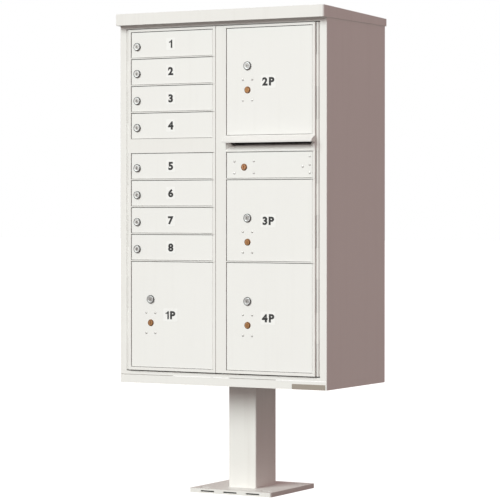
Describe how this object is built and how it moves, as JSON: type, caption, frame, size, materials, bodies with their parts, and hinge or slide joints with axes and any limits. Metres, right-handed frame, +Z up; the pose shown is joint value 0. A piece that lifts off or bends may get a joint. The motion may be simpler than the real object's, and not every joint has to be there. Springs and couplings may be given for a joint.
{
  "type": "cluster mailbox unit",
  "caption": "Pedestal-mounted cluster mailbox with tenant doors, parcel lockers, an outgoing mail slot and front-opening master doors.",
  "frame": {"origin": "on the ground under the middle of the overall outline", "axes": "+Z up, doors face -Y, +X to the right seen from the front"},
  "size_m": [0.775, 0.4636, 1.575],
  "materials": {
    "cabinet_paint": "satin",
    "pedestal_paint": "satin",
    "trim_paint": "satin",
    "plate": "matte",
    "inner_sheet": "matte",
    "hinge_metal": "satin",
    "lock_chrome": "polished",
    "core_brass": "worn",
    "lock_steel": "plain",
    "zinc_steel": "plain"
  },
  "bodies": {
    "cabinet": {"pedestal_base": "pedestal_paint", "pedestal_post": "pedestal_paint", "pedestal_top_plate": "zinc_steel", "pedestal_bolts": "zinc_steel", "roof_cap": "cabinet_paint", "name_plate": "plate", "left_side_panel": "cabinet_paint", "right_side_panel": "cabinet_paint", "back_panel": "cabinet_paint", "floor_pan": "inner_sheet", "front_skirt": "cabinet_paint", "header_rail": "cabinet_paint", "centre_partition": "inner_sheet", "compartment_shelves": "inner_sheet", "master_hinge_leaves": "hinge_metal", "master_hinge_pins": "hinge_metal"},
    "left_master": {"left_master_frame": "cabinet_paint", "left_door_hinge_rod": "hinge_metal"},
    "right_master": {"right_master_frame": "cabinet_paint", "right_door_hinge_rods": "hinge_metal", "mail_slot_trim": "trim_paint", "mail_slot_hood": "cabinet_paint", "mail_chute": "inner_sheet"},
    "latch_bar": {"master_latch_bar": "zinc_steel"},
    "tenant_1": {"tenant_door_1": "cabinet_paint"},
    "tenant_plug_1": {"tenant_lock_plug_1": "lock_chrome"},
    "tenant_2": {"tenant_door_2": "cabinet_paint"},
    "tenant_plug_2": {"tenant_lock_plug_2": "lock_chrome"},
    "tenant_3": {"tenant_door_3": "cabinet_paint"},
    "tenant_plug_3": {"tenant_lock_plug_3": "lock_chrome"},
    "tenant_4": {"tenant_door_4": "cabinet_paint"},
    "tenant_plug_4": {"tenant_lock_plug_4": "lock_chrome"},
    "tenant_5": {"tenant_door_5": "cabinet_paint"},
    "tenant_plug_5": {"tenant_lock_plug_5": "lock_chrome"},
    "tenant_6": {"tenant_door_6": "cabinet_paint"},
    "tenant_plug_6": {"tenant_lock_plug_6": "lock_chrome"},
    "tenant_7": {"tenant_door_7": "cabinet_paint"},
    "tenant_plug_7": {"tenant_lock_plug_7": "lock_chrome"},
    "tenant_8": {"tenant_door_8": "cabinet_paint"},
    "tenant_plug_8": {"tenant_lock_plug_8": "lock_chrome"},
    "parcel_1": {"parcel_door_1": "cabinet_paint", "parcel_lock_case_1": "lock_steel"},
    "parcel_plug_1": {"parcel_lock_plug_1": "lock_chrome"},
    "carrier_core_1": {"carrier_lock_core_1": "core_brass"},
    "parcel_2": {"parcel_door_2": "cabinet_paint", "parcel_lock_case_2": "lock_steel"},
    "parcel_plug_2": {"parcel_lock_plug_2": "lock_chrome"},
    "carrier_core_2": {"carrier_lock_core_2": "core_brass"},
    "parcel_3": {"parcel_door_3": "cabinet_paint", "parcel_lock_case_3": "lock_steel"},
    "parcel_plug_3": {"parcel_lock_plug_3": "lock_chrome"},
    "carrier_core_3": {"carrier_lock_core_3": "core_brass"},
    "parcel_4": {"parcel_door_4": "cabinet_paint", "parcel_lock_case_4": "lock_steel"},
    "parcel_plug_4": {"parcel_lock_plug_4": "lock_chrome"},
    "carrier_core_4": {"carrier_lock_core_4": "core_brass"},
    "collection": {"collection_door": "cabinet_paint", "collection_lock_case": "lock_steel"},
    "collection_core": {"collection_lock_core": "core_brass"},
    "collection_bolt": {"collection_lock_bolt": "zinc_steel"}
  },
  "joints": [
    {"name": "left_master_hinge", "type": "hinge", "parent": "cabinet", "child": "left_master", "pos_m": [-0.353, -0.1957, 0.4015], "axis": [0, 0, -1], "range_deg": [0, 90]},
    {"name": "right_master_hinge", "type": "hinge", "parent": "cabinet", "child": "right_master", "pos_m": [0.353, -0.1957, 0.4015], "axis": [0, 0, 1], "range_deg": [0, 90]},
    {"name": "latch_slide", "type": "slide", "parent": "right_master", "child": "latch_bar", "axis": [0, 0, 1], "range_m": [0, 0.012]},
    {"name": "tenant_door_hinge_1", "type": "hinge", "parent": "left_master", "child": "tenant_1", "pos_m": [-0.031, -0.2009, 1.4306], "axis": [0, 0, 1], "range_deg": [0, 100]},
    {"name": "tenant_lock_turn_1", "type": "hinge", "parent": "tenant_1", "child": "tenant_plug_1", "pos_m": [-0.315, -0.2091, 1.466], "axis": [0, 1, 0], "range_deg": [0, 90]},
    {"name": "tenant_door_hinge_2", "type": "hinge", "parent": "left_master", "child": "tenant_2", "pos_m": [-0.031, -0.2009, 1.3417], "axis": [0, 0, 1], "range_deg": [0, 100]},
    {"name": "tenant_lock_turn_2", "type": "hinge", "parent": "tenant_2", "child": "tenant_plug_2", "pos_m": [-0.315, -0.2091, 1.3771], "axis": [0, 1, 0], "range_deg": [0, 90]},
    {"name": "tenant_door_hinge_3", "type": "hinge", "parent": "left_master", "child": "tenant_3", "pos_m": [-0.031, -0.2009, 1.2528], "axis": [0, 0, 1], "range_deg": [0, 100]},
    {"name": "tenant_lock_turn_3", "type": "hinge", "parent": "tenant_3", "child": "tenant_plug_3", "pos_m": [-0.315, -0.2091, 1.2882], "axis": [0, 1, 0], "range_deg": [0, 90]},
    {"name": "tenant_door_hinge_4", "type": "hinge", "parent": "left_master", "child": "tenant_4", "pos_m": [-0.031, -0.2009, 1.1639], "axis": [0, 0, 1], "range_deg": [0, 100]},
    {"name": "tenant_lock_turn_4", "type": "hinge", "parent": "tenant_4", "child": "tenant_plug_4", "pos_m": [-0.315, -0.2091, 1.1993], "axis": [0, 1, 0], "range_deg": [0, 90]},
    {"name": "tenant_door_hinge_5", "type": "hinge", "parent": "left_master", "child": "tenant_5", "pos_m": [-0.031, -0.2009, 1.0315], "axis": [0, 0, 1], "range_deg": [0, 100]},
    {"name": "tenant_lock_turn_5", "type": "hinge", "parent": "tenant_5", "child": "tenant_plug_5", "pos_m": [-0.315, -0.2091, 1.0669], "axis": [0, 1, 0], "range_deg": [0, 90]},
    {"name": "tenant_door_hinge_6", "type": "hinge", "parent": "left_master", "child": "tenant_6", "pos_m": [-0.031, -0.2009, 0.9426], "axis": [0, 0, 1], "range_deg": [0, 100]},
    {"name": "tenant_lock_turn_6", "type": "hinge", "parent": "tenant_6", "child": "tenant_plug_6", "pos_m": [-0.315, -0.2091, 0.978], "axis": [0, 1, 0], "range_deg": [0, 90]},
    {"name": "tenant_door_hinge_7", "type": "hinge", "parent": "left_master", "child": "tenant_7", "pos_m": [-0.031, -0.2009, 0.8537], "axis": [0, 0, 1], "range_deg": [0, 100]},
    {"name": "tenant_lock_turn_7", "type": "hinge", "parent": "tenant_7", "child": "tenant_plug_7", "pos_m": [-0.315, -0.2091, 0.8891], "axis": [0, 1, 0], "range_deg": [0, 90]},
    {"name": "tenant_door_hinge_8", "type": "hinge", "parent": "left_master", "child": "tenant_8", "pos_m": [-0.031, -0.2009, 0.7648], "axis": [0, 0, 1], "range_deg": [0, 100]},
    {"name": "tenant_lock_turn_8", "type": "hinge", "parent": "tenant_8", "child": "tenant_plug_8", "pos_m": [-0.315, -0.2091, 0.8002], "axis": [0, 1, 0], "range_deg": [0, 90]},
    {"name": "parcel_door_hinge_1", "type": "hinge", "parent": "left_master", "child": "parcel_1", "pos_m": [-0.031, -0.2009, 0.4125], "axis": [0, 0, 1], "range_deg": [0, 100]},
    {"name": "parcel_lock_turn_1", "type": "hinge", "parent": "parcel_1", "child": "parcel_plug_1", "pos_m": [-0.263, -0.2091, 0.6354], "axis": [0, 1, 0], "range_deg": [0, 90]},
    {"name": "carrier_lock_turn_1", "type": "hinge", "parent": "parcel_1", "child": "carrier_core_1", "pos_m": [-0.263, -0.2074, 0.5579], "axis": [0, 1, 0], "range_deg": [0, 90]},
    {"name": "parcel_door_hinge_2", "type": "hinge", "parent": "right_master", "child": "parcel_2", "pos_m": [0.3335, -0.2009, 1.17], "axis": [0, 0, 1], "range_deg": [0, 100]},
    {"name": "parcel_lock_turn_2", "type": "hinge", "parent": "parcel_2", "child": "parcel_plug_2", "pos_m": [0.1015, -0.2091, 1.3915], "axis": [0, 1, 0], "range_deg": [0, 90]},
    {"name": "carrier_lock_turn_2", "type": "hinge", "parent": "parcel_2", "child": "carrier_core_2", "pos_m": [0.1015, -0.2074, 1.314], "axis": [0, 1, 0], "range_deg": [0, 90]},
    {"name": "parcel_door_hinge_3", "type": "hinge", "parent": "right_master", "child": "parcel_3", "pos_m": [0.3335, -0.2009, 0.7648], "axis": [0, 0, 1], "range_deg": [0, 100]},
    {"name": "parcel_lock_turn_3", "type": "hinge", "parent": "parcel_3", "child": "parcel_plug_3", "pos_m": [0.1015, -0.2091, 0.9029], "axis": [0, 1, 0], "range_deg": [0, 90]},
    {"name": "carrier_lock_turn_3", "type": "hinge", "parent": "parcel_3", "child": "carrier_core_3", "pos_m": [0.1015, -0.2074, 0.8254], "axis": [0, 1, 0], "range_deg": [0, 90]},
    {"name": "parcel_door_hinge_4", "type": "hinge", "parent": "right_master", "child": "parcel_4", "pos_m": [0.3335, -0.2009, 0.4125], "axis": [0, 0, 1], "range_deg": [0, 100]},
    {"name": "parcel_lock_turn_4", "type": "hinge", "parent": "parcel_4", "child": "parcel_plug_4", "pos_m": [0.1015, -0.2091, 0.6354], "axis": [0, 1, 0], "range_deg": [0, 90]},
    {"name": "carrier_lock_turn_4", "type": "hinge", "parent": "parcel_4", "child": "carrier_core_4", "pos_m": [0.1015, -0.2074, 0.5579], "axis": [0, 1, 0], "range_deg": [0, 90]},
    {"name": "collection_door_hinge", "type": "hinge", "parent": "right_master", "child": "collection", "pos_m": [0.3335, -0.2009, 1.0315], "axis": [0, 0, 1], "range_deg": [0, 90]},
    {"name": "collection_lock_turn", "type": "hinge", "parent": "collection", "child": "collection_core", "pos_m": [0.089, -0.2074, 1.0664], "axis": [0, 1, 0], "range_deg": [0, 90]},
    {"name": "collection_bolt_slide", "type": "slide", "parent": "collection", "child": "collection_bolt", "axis": [-1, 0, 0], "range_m": [0, 0.012]}
  ],
  "couplings": [
    {"joint": "collection_bolt_slide", "follows": "collection_lock_turn", "m_per_rad": 0.0076394}
  ]
}
